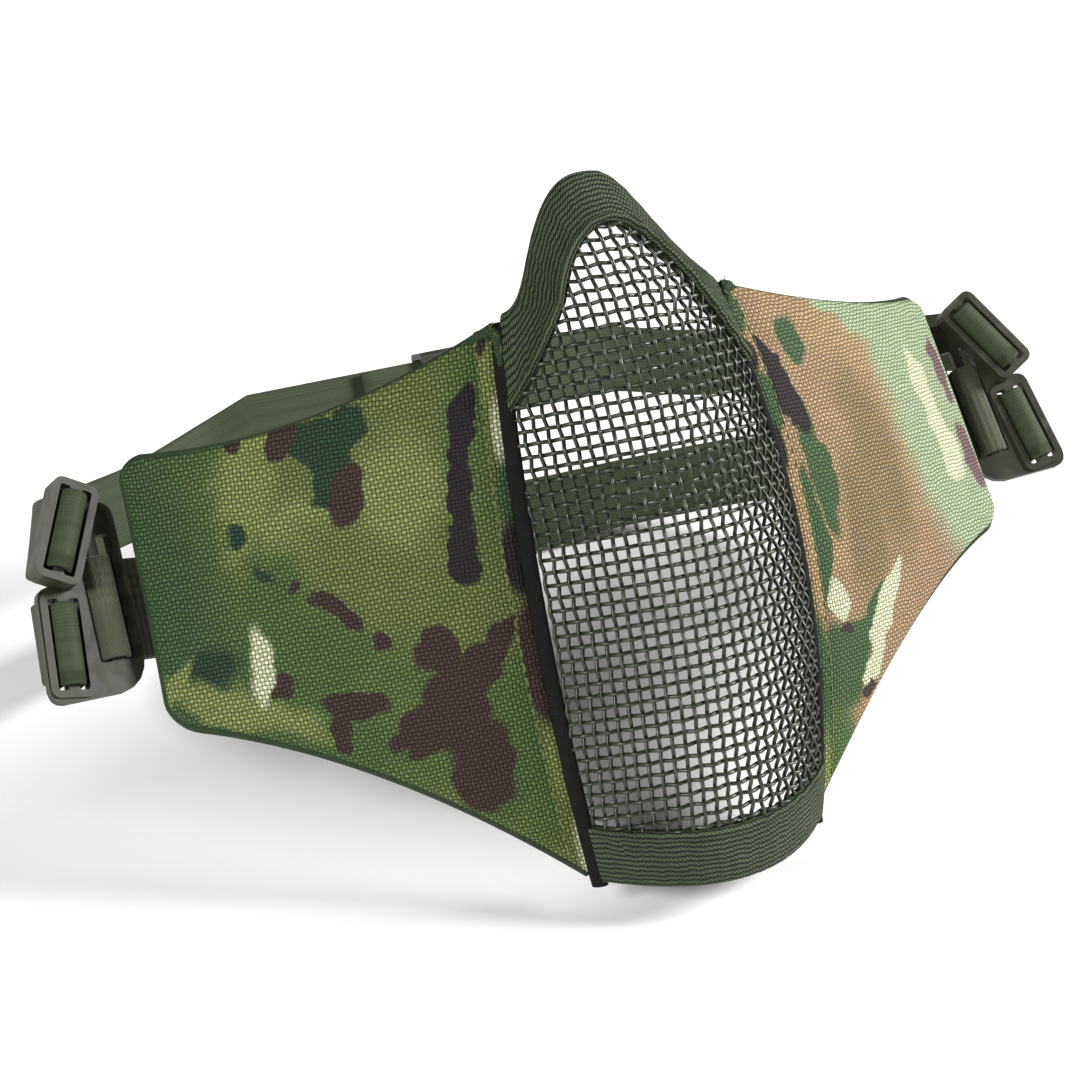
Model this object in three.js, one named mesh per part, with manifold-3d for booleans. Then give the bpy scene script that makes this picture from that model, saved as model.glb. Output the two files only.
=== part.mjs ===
// Foldable half-face mask: a domed wire mesh with two padded cheek panels, a
// three-way buckle on each side and two straps that go round the head.
// Units are millimetres. The mask is drawn upright in its own coordinates
// (-Y forward, +Z up, X = 0 the plane of symmetry, left and right as seen
// from the front, right at +X), then leaned back onto its chin and lower
// strap, as it lies on a table.

import * as THREE from 'three';
import { mergeVertices } from 'three/addons/utils/BufferGeometryUtils.js';
import Module from 'manifold-3d';

const wasm = await Module();
wasm.setup();

// ---- Driving dimensions -------------------------------------------------

const RECLINE = THREE.MathUtils.degToRad(26); // lean back from upright
const FLOOR_LIFT = 63.64;                     // lowest point up to Z = 0
const CENTRE_BACK = 59.65;                    // middle of the depth to Y = 0
const GAP = 0.3;                              // between neighbouring pieces

const SEAM_TOP_Z = 75;
const SEAM_BOTTOM_Z = -61;
const SEAM_TOP_X = 28;
const SEAM_BOTTOM_X = 30;
const SEAM_BULGE_X = 6;       // the side seams bow outwards half way down
const SEAM_BULGE_Y = 7;       // and forwards
const NOSE_RISE = 29;         // nose edge above the seam tops
const NOSE_INNER_Z = 51;      // inner edge of the nose binding at the seams
const NOSE_INNER_RISE = 40;
const NOSE_NARROWING = 0.2;   // how fast the nose narrows above the seam tops
const NOSE_SIDE_SLOPE = 1.3;  // the nose's sides run back as they rise
const NOSE_LEAN = 3;          // its tip stands a little to the left
const CHIN_DROP = 5;          // chin edge below the seam bottoms
const CHIN_INNER_Z = -46.5;
const CHIN_INNER_DROP = 5.5;
const DOME_FRONT = 28;        // how far the mesh stands out in front
const DOME_Z = 10;            // height of its foremost place
const DOME_NOSE = { height: 94, back: 22 };  // fall back over that height
const DOME_CHIN = { height: 78, back: 13 };
const MESH_THICKNESS = 1.8;
const BINDING_THICKNESS = 3.2;
const TAPE_WIDTH = 3;
const TAPE_THICKNESS = 3;

const CHEEK_OUTER_TOP = new THREE.Vector3(113.5, 44.8, 59);
const CHEEK_OUTER_BOTTOM = new THREE.Vector3(117, 29.5, -3.5);
const CHEEK_START = 0.035;    // fold gap beside the seam, share of the length
const CHEEK_BULGE = 5;        // the panel's own outward curve
const CHEEK_TOP_SAG = 6.5;
const CHEEK_BOTTOM_RISE = 8.5;
const COVER_THICKNESS = 1;
const PAD_THICKNESS = 3;
const LINING_THICKNESS = 0.8;
const CHEEK_BINDING = { offset: 1.1, thickness: 1, width: 4.6 };

const STRAP_WIDTH = 20;
const STRAP_THICKNESS = 1.4;
const ANCHOR_WIDTH = 25;
const ANCHOR_THICKNESS = 1.2;
const PLATE_THICKNESS = 2.2;
const BAR_WIDTH = 2.4;
const FRAME_DEPTH = 6;        // the upper window stands proud of the plate

const STRAP_BACK_Y = 145;     // rear run of the upper strap
const LOWER_BACK_Y = 150;
const LAP_OFFSET = 1.2;       // the two halves of a strap lap either side of this
const SLIDER = { centre: 13, length: 18, height: 24.4, depth: 8.4, window: 5.6, slot: 20.8 };

// ---- Materials ----------------------------------------------------------

function material(color, roughness, metalness = 0) {
  return new THREE.MeshStandardMaterial({ color, roughness, metalness });
}

const wirePaint = () => material(0x232a1c, 0.4, 0.3);
const elastic = () => material(0x37492d, 0.9);
const blackTape = () => material(0x12140f, 0.9);
const camoCloth = () => material(0x6f7a48, 0.85);
const foam = () => material(0x2a2c28, 0.95);
const darkLining = () => material(0x1d231a, 0.9);
const webbing = () => material(0x3a4028, 0.8);
const plastic = () => material(0x5a5a46, 0.5);

// ---- Geometry helpers ---------------------------------------------------

const lerp = (a, b, t) => a + (b - a) * t;
const hump = (t) => 4 * t * (1 - t);

function indexed(positions, faces) {
  const geometry = new THREE.BufferGeometry();
  geometry.setAttribute('position', new THREE.Float32BufferAttribute(positions.flatMap((p) => p.toArray()), 3));
  geometry.setIndex(faces);
  return geometry;
}

// A closed sheet over surface(u, v) for u and v from 0 to 1, between two
// distances along the surface's normal. flip turns the normal over.
function sheet(surface, columns, rows, front, back, flip = 1) {
  const step = 1e-3;
  const points = [];
  for (const distance of [front, back]) {
    for (let j = 0; j <= rows; j++) {
      for (let i = 0; i <= columns; i++) {
        const u = i / columns;
        const v = j / rows;
        const along = surface(u + step, v).sub(surface(u - step, v));
        const down = surface(u, v + step).sub(surface(u, v - step));
        const normal = along.cross(down).normalize().multiplyScalar(flip);
        points.push(surface(u, v).addScaledVector(normal, distance));
      }
    }
  }
  const width = columns + 1;
  const layer = width * (rows + 1);
  const faces = [];
  const quad = (a, b, c, d) => (flip > 0 ? faces.push(a, b, c, a, c, d) : faces.push(a, c, b, a, d, c));
  for (let j = 0; j < rows; j++) {
    for (let i = 0; i < columns; i++) {
      const a = j * width + i;
      quad(a, a + 1, a + 1 + width, a + width);
      quad(layer + a, layer + a + width, layer + a + 1 + width, layer + a + 1);
    }
  }
  for (let i = 0; i < columns; i++) {
    const end = rows * width + i;
    quad(i, layer + i, layer + i + 1, i + 1);
    quad(end, end + 1, layer + end + 1, layer + end);
  }
  for (let j = 0; j < rows; j++) {
    const a = j * width;
    const b = a + columns;
    quad(a, a + width, layer + a + width, layer + a);
    quad(b, layer + b, layer + b + width, b + width);
  }
  return indexed(points, faces);
}

// A flat band of rectangular section along a list of { point, across }, where
// across is the unit direction of the band's width.
function band(stations, width, thickness) {
  const points = [];
  stations.forEach(({ point, across }, i) => {
    const before = stations[Math.max(i - 1, 0)].point;
    const after = stations[Math.min(i + 1, stations.length - 1)].point;
    const along = after.clone().sub(before).normalize();
    const normal = along.clone().cross(across).normalize();
    for (const [a, n] of [[-1, -1], [1, -1], [1, 1], [-1, 1]]) {
      points.push(point.clone()
        .addScaledVector(across, a * width / 2)
        .addScaledVector(normal, n * thickness / 2));
    }
  });
  const faces = [0, 2, 1, 0, 3, 2];
  const last = (stations.length - 1) * 4;
  for (let i = 0; i < last; i += 4) {
    for (let k = 0; k < 4; k++) {
      const a = i + k;
      const b = i + (k + 1) % 4;
      faces.push(a, b + 4, a + 4, a, b, b + 4);
    }
  }
  faces.push(last, last + 1, last + 2, last, last + 2, last + 3);
  return indexed(points, faces);
}

// The same solid on the wearer's other side.
function mirrored(geometry) {
  const copy = geometry.clone();
  copy.scale(-1, 1, 1);
  const index = copy.getIndex();
  for (let i = 0; i < index.count; i += 3) {
    const second = index.getX(i + 1);
    index.setX(i + 1, index.getX(i + 2));
    index.setX(i + 2, second);
  }
  return copy;
}

function toSolid(geometry) {
  const bare = geometry.clone();
  bare.deleteAttribute('normal');
  bare.deleteAttribute('uv');
  const merged = mergeVertices(bare, 1e-4);
  return new wasm.Manifold(new wasm.Mesh({
    numProp: 3,
    vertProperties: new Float32Array(merged.getAttribute('position').array),
    triVerts: new Uint32Array(merged.getIndex().array),
  }));
}

function fromSolid(solid) {
  const mesh = solid.getMesh();
  const geometry = new THREE.BufferGeometry();
  geometry.setAttribute('position', new THREE.BufferAttribute(new Float32Array(mesh.vertProperties), 3));
  geometry.setIndex(new THREE.BufferAttribute(new Uint32Array(mesh.triVerts), 1));
  return geometry;
}

// ---- Front: mesh, nose and chin bindings, side tapes --------------------

function seamShare(z) {
  return (SEAM_TOP_Z - z) / (SEAM_TOP_Z - SEAM_BOTTOM_Z);
}

function halfWidth(z) {
  const v = seamShare(z);
  return lerp(SEAM_TOP_X, SEAM_BOTTOM_X, v) + SEAM_BULGE_X * hump(v) * (v < 0 ? NOSE_NARROWING : 1);
}

function seamY(z) {
  if (z > SEAM_TOP_Z) return NOSE_SIDE_SLOPE * (z - SEAM_TOP_Z);
  return -SEAM_BULGE_Y * hump(Math.min(seamShare(z), 1));
}

function centreY(z) {
  const end = z > DOME_Z ? DOME_NOSE : DOME_CHIN;
  return end.back * ((z - DOME_Z) / end.height) ** 2 - DOME_FRONT;
}

// A point of the front at s (-1 to 1 across, seam to seam) and height z.
function frontPoint(s, z) {
  const lean = NOSE_LEAN * Math.max(z - SEAM_TOP_Z, 0) / NOSE_RISE;
  return new THREE.Vector3(s * halfWidth(z) - lean, lerp(centreY(z), seamY(z), s * s), z);
}

const bell = (s) => 0.5 + 0.5 * Math.cos(Math.PI * Math.abs(s) ** 1.3);
const noseOuter = (s) => SEAM_TOP_Z + NOSE_RISE * bell(s);
const noseInner = (s) => NOSE_INNER_Z + NOSE_INNER_RISE * lerp(1 - Math.abs(s) ** 1.75, bell(s), 0.33);
const chinInner = (s) => CHIN_INNER_Z - CHIN_INNER_DROP * (1 - s * s);
const chinOuter = (s) => SEAM_BOTTOM_Z - CHIN_DROP * (1 - s * s);

// A strip of the front between two height curves, inside the side tapes.
function frontStrip(low, high, columns, rows, thickness) {
  const reach = (z) => 1 - (TAPE_WIDTH + 2 * GAP) / halfWidth(z);
  const surface = (u, v) => {
    const s = (2 * u - 1) * reach(lerp(high(2 * u - 1), low(2 * u - 1), v));
    return frontPoint(s, lerp(high(s), low(s), v));
  };
  return sheet(surface, columns, rows, thickness / 2, -thickness / 2, -1);
}

function meshPanel() {
  return frontStrip((s) => chinInner(s) + GAP, (s) => noseInner(s) - GAP, 16, 12, MESH_THICKNESS);
}

function noseBinding() {
  return frontStrip(noseInner, noseOuter, 20, 2, BINDING_THICKNESS);
}

function chinBinding() {
  return frontStrip(chinOuter, chinInner, 14, 2, BINDING_THICKNESS);
}

function sideTape() {
  const surface = (u, v) => {
    const z = lerp(SEAM_TOP_Z - 4, SEAM_BOTTOM_Z - 1, v);
    const s = lerp(1 - TAPE_WIDTH / halfWidth(z), 1 + 0.5 / halfWidth(z), u);
    return frontPoint(s, z);
  };
  return sheet(surface, 2, 16, TAPE_THICKNESS / 2, -TAPE_THICKNESS / 2, -1);
}

// ---- Cheek panels -------------------------------------------------------

const CHEEK_OUTWARD = new THREE.Vector3(0.5, -0.87, 0);

// A point of the +X cheek's outer face: u from the seam to the outer end,
// v from the top edge to the bottom edge.
function cheekPoint(u, v) {
  const seam = frontPoint(1, lerp(SEAM_TOP_Z, SEAM_BOTTOM_Z, v));
  const outer = CHEEK_OUTER_TOP.clone().lerp(CHEEK_OUTER_BOTTOM, v);
  const point = seam.lerp(outer, u);
  point.addScaledVector(CHEEK_OUTWARD, CHEEK_BULGE * hump(u));
  point.z += hump(u) * lerp(-CHEEK_TOP_SAG, CHEEK_BOTTOM_RISE, v);
  return point;
}

function cheekSheet(front, thickness) {
  const surface = (u, v) => cheekPoint(lerp(CHEEK_START, 1, u), v);
  return sheet(surface, 12, 8, front, front - thickness, -1);
}

const PAD_FRONT = -(COVER_THICKNESS + GAP);
const LINING_FRONT = PAD_FRONT - PAD_THICKNESS - GAP;

function cheekNormal(u, v) {
  const along = cheekPoint(u + 1e-3, v).sub(cheekPoint(u - 1e-3, v));
  const down = cheekPoint(u, v + 1e-3).sub(cheekPoint(u, v - 1e-3));
  return along.cross(down).normalize().negate();
}

// The dark binding that wraps the top, outer and bottom edges.
function cheekBinding() {
  const steps = 10;
  const corners = [];
  for (let i = 0; i <= steps; i++) corners.push([lerp(0.06, 1, i / steps), 0, 0, 1]);
  for (let i = 0; i <= steps / 2; i++) corners.push([1, i / (steps / 2), 1, 0]);
  for (let i = 0; i <= steps; i++) corners.push([lerp(1, 0.06, i / steps), 1, 0, -1]);
  const depth = (COVER_THICKNESS + PAD_THICKNESS + LINING_THICKNESS + 2 * GAP) / 2;
  const stations = corners.map(([u, v, sideways, upwards]) => {
    const normal = cheekNormal(u, v);
    const down = cheekPoint(u, v + 0.01).sub(cheekPoint(u, v - 0.01)).normalize();
    const along = cheekPoint(u + 0.01, v).sub(cheekPoint(u - 0.01, v)).normalize();
    const point = cheekPoint(u, v)
      .addScaledVector(normal, -depth)
      .addScaledVector(along, sideways * CHEEK_BINDING.offset)
      .addScaledVector(down, -upwards * CHEEK_BINDING.offset);
    return { point, across: normal };
  });
  return band(stations, CHEEK_BINDING.width, CHEEK_BINDING.thickness);
}

// ---- Three-way buckle and its anchor webbing ----------------------------

// The buckle's own axes: X outward, Y up along the main bar, Z to the front.
const BUCKLE_ORIGIN = new THREE.Vector3(128, 42, 26.3);
const BAR_DOWN = new THREE.Vector3(0.048, -0.292, -0.956).normalize();
const BUCKLE_UP = BAR_DOWN.clone().negate();
const BUCKLE_FRONT = new THREE.Vector3(0.974, -0.2, 0.1).cross(BUCKLE_UP).normalize();
const BUCKLE_OUT = BUCKLE_UP.clone().cross(BUCKLE_FRONT);
const BUCKLE_MATRIX = new THREE.Matrix4()
  .makeBasis(BUCKLE_OUT, BUCKLE_UP, BUCKLE_FRONT)
  .setPosition(BUCKLE_ORIGIN);

const UPPER_WINDOW = { x: 2.9, y: 17.2, turn: THREE.MathUtils.degToRad(24.5), proud: 4.2 };
const LOWER_WINDOW = { x: 6.4, y: -8.6, turn: THREE.MathUtils.degToRad(5), proud: 0 };
const WINDOW_WIDTH = 7.8;
const WINDOW_HEIGHT = 22;
const RIM = 1.8;
const MAIN_BAR_X = -5;
const MAIN_SLOT = { width: 3, low: -14, high: 17 };
const ANCHOR_LEVEL = -1;      // middle of the webbing along the bar

function roundedRect(x0, y0, x1, y1, r, path) {
  path.moveTo(x0 + r, y0);
  path.lineTo(x1 - r, y0);
  path.absarc(x1 - r, y0 + r, r, -Math.PI / 2, 0);
  path.lineTo(x1, y1 - r);
  path.absarc(x1 - r, y1 - r, r, 0, Math.PI / 2);
  path.lineTo(x0 + r, y1);
  path.absarc(x0 + r, y1 - r, r, Math.PI / 2, Math.PI);
  path.lineTo(x0, y0 + r);
  path.absarc(x0 + r, y0 + r, r, Math.PI, 1.5 * Math.PI);
  return path;
}

function extruded(shape, depth, low) {
  const geometry = new THREE.ExtrudeGeometry(shape, { depth, bevelEnabled: false, curveSegments: 4 });
  geometry.translate(0, 0, low);
  return geometry;
}

// A window's solid at its own centre, turned into the buckle's axes.
function placeWindow(geometry, window) {
  geometry.rotateZ(window.turn);
  geometry.translate(window.x, window.y, window.proud);
  return geometry;
}

function windowFrame(window, depth) {
  const halfW = WINDOW_WIDTH / 2 + RIM;
  const halfH = WINDOW_HEIGHT / 2 + RIM;
  const outline = roundedRect(-halfW, -halfH, halfW, halfH, 2.4, new THREE.Shape());
  return placeWindow(extruded(outline, depth, -depth / 2), window);
}

function windowGap(window, side) {
  const inner = side * BAR_WIDTH / 2;
  const outer = side * WINDOW_WIDTH / 2;
  const hole = roundedRect(Math.min(inner, outer), -WINDOW_HEIGHT / 2,
    Math.max(inner, outer), WINDOW_HEIGHT / 2, 0.6, new THREE.Shape());
  return placeWindow(extruded(hole, 30, -15), window);
}

function mainSlot(side) {
  const inner = MAIN_BAR_X + side * BAR_WIDTH / 2;
  const outer = inner + side * MAIN_SLOT.width;
  return roundedRect(Math.min(inner, outer), MAIN_SLOT.low,
    Math.max(inner, outer), MAIN_SLOT.high, 0.6, new THREE.Path());
}

function buckle() {
  const plate = new THREE.Shape();
  plate.moveTo(-12, -13);
  plate.quadraticCurveTo(-11, -20.5, -5, -21.5);
  plate.lineTo(10, -22.4);
  plate.quadraticCurveTo(13.4, -22.2, 13.2, -18.5);
  plate.lineTo(11.4, 3);
  plate.quadraticCurveTo(11, 5.6, 8, 5.6);
  plate.lineTo(0, 24);
  plate.lineTo(-9, 25);
  plate.quadraticCurveTo(-12, 24.5, -12, 21);
  plate.closePath();
  plate.holes.push(mainSlot(-1), mainSlot(1));
  let solid = toSolid(extruded(plate, PLATE_THICKNESS, -PLATE_THICKNESS / 2));
  solid = solid.add(toSolid(windowFrame(LOWER_WINDOW, 3.4)));
  solid = solid.add(toSolid(windowFrame(UPPER_WINDOW, FRAME_DEPTH)));
  for (const window of [UPPER_WINDOW, LOWER_WINDOW]) {
    for (const side of [-1, 1]) {
      solid = solid.subtract(toSolid(windowGap(window, side)));
    }
  }
  return fromSolid(solid).applyMatrix4(BUCKLE_MATRIX);
}

// The sewn webbing passes behind the inner rim, up through the outer slot,
// over the main bar and back down through the inner slot.
function anchorWebbing() {
  const route = [
    [-13.6, -4.1], [-9, -4.1], [-4, -4.1], [-2.5, -3.4], [-2.1, -2], [-2.1, 1.2], [-2.8, 2.4],
    [-4, 2.9], [-6, 2.9], [-7.2, 2.4], [-7.9, 1.2], [-7.9, -1.2], [-8.6, -2.1], [-10, -2.4], [-13.6, -2.4],
  ];
  const across = BUCKLE_UP.clone().negate();
  const stations = route.map(([x, z]) => ({
    point: new THREE.Vector3(x, ANCHOR_LEVEL, z).applyMatrix4(BUCKLE_MATRIX),
    across,
  }));
  return band(stations, ANCHOR_WIDTH, ANCHOR_THICKNESS);
}

// ---- Straps -------------------------------------------------------------

// The turn of a strap round its ladder bar, in the window's own axes: from
// behind through the outer gap, over the bar, and back through the inner gap.
const LADDER_TURN = [
  [-2.9, -6.4], [-2.6, -4], [-2.55, 2], [-1.9, 3.6], [-0.7, 4.3], [0.7, 4.3], [1.9, 3.6], [2.55, 2],
];

// One half of a strap on the +X side: the turn round the bar, then a run
// behind the buckle, back round the side and straight along the rear.
function strapHalf(window, run, rear) {
  const turn = new THREE.Matrix4()
    .makeRotationZ(window.turn)
    .setPosition(window.x, window.y, window.proud)
    .premultiply(BUCKLE_MATRIX);
  const depth = window.proud > 0 ? 0 : -1.2;
  const across = new THREE.Vector3(0, -1, 0).transformDirection(turn);
  const level = new THREE.Vector3(0, 0, -1);
  const stations = LADDER_TURN.map(([x, z]) => ({
    point: new THREE.Vector3(x, 0, z + depth).applyMatrix4(turn),
    across,
  }));
  const start = new THREE.Vector3(2.6, 0, -3.5 + depth).applyMatrix4(turn);
  const controls = [start, ...run.map((p) => new THREE.Vector3(...p))];
  const curve = new THREE.CatmullRomCurve3(controls, false, 'centripetal');
  const steps = 30;
  for (let i = 0; i <= steps; i++) {
    const t = i / steps;
    const twist = Math.min(t / 0.6, 1);
    stations.push({
      point: curve.getPointAt(t),
      across: across.clone().lerp(level, twist * twist * (3 - 2 * twist)).normalize(),
    });
  }
  stations.push(...rear.map((p) => ({ point: new THREE.Vector3(...p), across: level })));
  return band(stations, STRAP_WIDTH, STRAP_THICKNESS);
}

function upperRun(y, sag) {
  return [
    [131.5, 62, 44], [129, 80, 45 - sag / 2], [121, 99, 46 - sag], [107, 118, 48 - sag],
    [86, 135, 51 - sag], [62, y, 57 - (5 * sag) / 6],
  ];
}

function lowerRun(y) {
  return [
    [135.5, 54, 18], [134, 74, 17], [127, 97, 16], [112, 120, 16], [88, 140, 16], [62, y, 16],
  ];
}

// The halves lap at the rear: the mirrored half lies behind the plain one.
function straps() {
  const front = STRAP_BACK_Y - LAP_OFFSET;
  const behind = STRAP_BACK_Y + LAP_OFFSET;
  const lowFront = LOWER_BACK_Y - LAP_OFFSET;
  const lowBehind = LOWER_BACK_Y + LAP_OFFSET;
  return {
    upper_strap_right: strapHalf(UPPER_WINDOW, upperRun(front, 0), [[45, front, 57], [-14, front, 57]]),
    upper_strap_left: mirrored(strapHalf(UPPER_WINDOW, upperRun(behind, 6), [[45, behind, 57], [-40, behind, 57]])),
    lower_strap_right: strapHalf(LOWER_WINDOW, lowerRun(lowFront), [[45, lowFront, 16], [-14, lowFront, 16]]),
    lower_strap_left: mirrored(strapHalf(LOWER_WINDOW, lowerRun(lowBehind), [[45, lowBehind, 16], [-40, lowBehind, 16]])),
  };
}

// The sleeve that holds the lap of a strap and slides along it.
function slider(y, z) {
  const outline = roundedRect(-SLIDER.depth / 2, -SLIDER.height / 2,
    SLIDER.depth / 2, SLIDER.height / 2, 1.6, new THREE.Shape());
  outline.holes.push(roundedRect(-SLIDER.window / 2, -SLIDER.slot / 2,
    SLIDER.window / 2, SLIDER.slot / 2, 0.5, new THREE.Path()));
  const geometry = extruded(outline, SLIDER.length, -SLIDER.length / 2);
  geometry.applyMatrix4(new THREE.Matrix4().makeBasis(
    new THREE.Vector3(0, 1, 0), new THREE.Vector3(0, 0, 1), new THREE.Vector3(1, 0, 0)));
  geometry.translate(SLIDER.centre, y, z);
  return geometry;
}

// ---- Assembly -----------------------------------------------------------

const mask = new THREE.Group();
mask.rotation.x = -RECLINE;
mask.position.set(0, -CENTRE_BACK, FLOOR_LIFT);

function add(name, geometry, look) {
  const mesh = new THREE.Mesh(geometry, look);
  mesh.name = name;
  mask.add(mesh);
}

function addPair(name, geometry, look) {
  add(`right_${name}`, geometry, look());
  add(`left_${name}`, mirrored(geometry), look());
}

add('mesh_panel', meshPanel(), wirePaint());
add('nose_binding', noseBinding(), elastic());
add('chin_binding', chinBinding(), elastic());
addPair('side_tape', sideTape(), blackTape);
addPair('cheek_cover', cheekSheet(0, COVER_THICKNESS), camoCloth);
addPair('cheek_pad', cheekSheet(PAD_FRONT, PAD_THICKNESS), foam);
addPair('cheek_lining', cheekSheet(LINING_FRONT, LINING_THICKNESS), darkLining);
addPair('cheek_binding', cheekBinding(), darkLining);
addPair('anchor_webbing', anchorWebbing(), webbing);
addPair('buckle', buckle(), plastic);
for (const [name, geometry] of Object.entries(straps())) {
  add(name, geometry, webbing());
}
add('upper_slider', slider(STRAP_BACK_Y, 57), plastic());
add('lower_slider', slider(LOWER_BACK_Y, 16), plastic());

const group = new THREE.Group();
group.add(mask);

export default group;
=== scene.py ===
"""Looks of the foldable half-face mask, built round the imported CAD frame.

Shapes are drawn in the mask's own upright coordinates in millimetres, as in
the CAD source: -Y forward, +Z up, X = 0 the plane of symmetry, left and right
as seen from the front, right at +X.  to_row() leans them back into the row
frame, in metres.  Fabric coordinates (UV) are in millimetres too.
"""

import math

import bpy
import numpy as np
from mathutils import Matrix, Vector


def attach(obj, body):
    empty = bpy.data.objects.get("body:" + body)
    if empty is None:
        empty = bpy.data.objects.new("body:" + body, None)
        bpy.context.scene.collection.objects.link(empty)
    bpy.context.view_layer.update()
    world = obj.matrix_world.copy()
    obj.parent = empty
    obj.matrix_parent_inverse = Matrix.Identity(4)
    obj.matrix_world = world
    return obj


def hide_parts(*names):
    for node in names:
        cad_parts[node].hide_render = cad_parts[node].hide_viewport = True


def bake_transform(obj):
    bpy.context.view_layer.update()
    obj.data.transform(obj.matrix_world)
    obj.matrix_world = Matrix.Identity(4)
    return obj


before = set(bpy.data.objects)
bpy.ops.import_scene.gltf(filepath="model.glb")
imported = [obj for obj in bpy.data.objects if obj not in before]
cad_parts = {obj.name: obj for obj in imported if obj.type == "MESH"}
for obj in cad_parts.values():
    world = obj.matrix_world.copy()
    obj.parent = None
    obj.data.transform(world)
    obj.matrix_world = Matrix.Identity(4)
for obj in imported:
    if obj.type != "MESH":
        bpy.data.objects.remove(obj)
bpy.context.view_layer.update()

# ---- Driving dimensions, as in the CAD source ------------------------------

RECLINE = math.radians(26)
FLOOR_LIFT = 63.64
CENTRE_BACK = 59.65

SEAM_TOP_Z, SEAM_BOTTOM_Z = 75.0, -61.0
SEAM_TOP_X, SEAM_BOTTOM_X = 28.0, 30.0
SEAM_BULGE_X, SEAM_BULGE_Y = 6.0, 7.0
NOSE_RISE, NOSE_INNER_Z, NOSE_INNER_RISE = 29.0, 51.0, 40.0
NOSE_NARROWING, NOSE_SIDE_SLOPE, NOSE_LEAN = 0.2, 1.3, 3.0
CHIN_DROP, CHIN_INNER_Z, CHIN_INNER_DROP = 5.0, -46.5, 5.5
DOME_FRONT, DOME_Z = 28.0, 10.0
DOME_NOSE_HEIGHT, DOME_NOSE_BACK = 94.0, 22.0
DOME_CHIN_HEIGHT, DOME_CHIN_BACK = 78.0, 13.0
BINDING_THICKNESS = 3.2
BINDING_REACH = 0.975         # share of the half width that the bindings cover

CHEEK_OUTER_TOP = np.array([113.5, 44.8, 59.0])
CHEEK_OUTER_BOTTOM = np.array([117.0, 29.5, -3.5])
CHEEK_OUTWARD = np.array([0.5, -0.87, 0.0])
CHEEK_BULGE = 5.0
CHEEK_LENGTH = 95.0           # seam to outer end, for the fabric coordinates
COVER_THICKNESS, PAD_THICKNESS, LINING_THICKNESS, GAP = 1.0, 3.0, 0.8, 0.3

STRAP_WIDTH, STRAP_THICKNESS = 20.0, 1.4
ANCHOR_WIDTH, ANCHOR_THICKNESS = 25.0, 1.2
STRAP_BACK_Y, LOWER_BACK_Y, LAP_OFFSET = 145.0, 150.0, 1.2
BUCKLE_ORIGIN = np.array([128.0, 42.0, 26.3])
BAR_DOWN = np.array([0.048, -0.292, -0.956])
UPPER_WINDOW = {"x": 2.9, "y": 17.2, "turn": math.radians(24.5), "proud": 4.2}
LOWER_WINDOW = {"x": 6.4, "y": -8.6, "turn": math.radians(5), "proud": 0.0}
ANCHOR_LEVEL = -1.0

# ---- Dimensions of the looks ------------------------------------------------

WIRE_PITCH = 3.0
WIRE_RADIUS = 0.5
WIRE_CRIMP = 0.5              # the wires pass over and under by their radius
WIRE_STEPS = 4                # stations from one crossing to the next
WEAVE_PITCH = 0.95            # of the printed cloth
STITCH_INSET = 5.8            # topstitch from a cheek's inner edge
STITCH_LENGTH, STITCH_GAP = 2.6, 0.9

CAMERA_AZIMUTH, CAMERA_ELEVATION = math.radians(-25.767), math.radians(28.806)
CAMERA_AIM = Vector((-0.02252, -0.04018, 0.07544))
CAMERA_DISTANCE = 0.6
CAMERA_LENS = 82.72

# ---- Small helpers ----------------------------------------------------------


def lerp(a, b, t):
    return a + (b - a) * t


def hump(t):
    return 4 * t * (1 - t)


def smooth(t):
    t = np.clip(t, 0, 1)
    return t * t * (3 - 2 * t)


def unit(v):
    v = np.asarray(v, float)
    return v / np.linalg.norm(v, axis=-1, keepdims=True)


def to_row(points):
    """Mask coordinates in millimetres to the row frame in metres."""
    x, y, z = np.moveaxis(np.asarray(points, float), -1, 0)
    c, s = math.cos(RECLINE), math.sin(RECLINE)
    row = [x, y * c + z * s - CENTRE_BACK, -y * s + z * c + FLOOR_LIFT]
    return np.stack(row, -1) * 0.001


def mirror(points, side):
    """Points drawn for the +X side, on side +1 or -1."""
    return np.asarray(points, float) * np.array([side, 1, 1])


def srgb(red, green, blue):
    """A display colour, 0 to 255, as a linear RGBA colour."""
    linear = [(c / 255 / 12.92) if c < 11 else ((c / 255 + 0.055) / 1.055) ** 2.4 for c in (red, green, blue)]
    return (*linear, 1.0)


def normals_of(surface, u, v, step=1e-3):
    """Unit normals of surface(u, v) by central differences."""
    along = surface(u + step, v) - surface(u - step, v)
    down = surface(u, v + step) - surface(u, v - step)
    return unit(np.cross(along, down))


def grid_faces(rows, columns, start=0, closed=False):
    """Quads over rows x columns points in row order; closed joins each row's ends."""
    faces = []
    for j in range(rows - 1):
        for i in range(columns if closed else columns - 1):
            a = start + j * columns + i
            b = start + j * columns + (i + 1) % columns
            faces.append((a, b, b + columns, a + columns))
    return faces


def make_piece(name, points, faces, material, uv=None, smooth_faces=True):
    """A mesh object from mask-coordinate points; uv is one pair per point."""
    mesh = bpy.data.meshes.new(name)
    mesh.from_pydata(to_row(points).tolist(), [], faces)
    if uv is not None:
        layer = mesh.uv_layers.new(name="Fabric")
        corners = np.empty(len(mesh.loops), int)
        mesh.loops.foreach_get("vertex_index", corners)
        layer.data.foreach_set("uv", np.asarray(uv, np.float32)[corners].ravel())
    mesh.polygons.foreach_set("use_smooth", [smooth_faces] * len(mesh.polygons))
    mesh.materials.append(material)
    mesh.update()
    piece = bpy.data.objects.new(name, mesh)
    bpy.context.scene.collection.objects.link(piece)
    return piece


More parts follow.
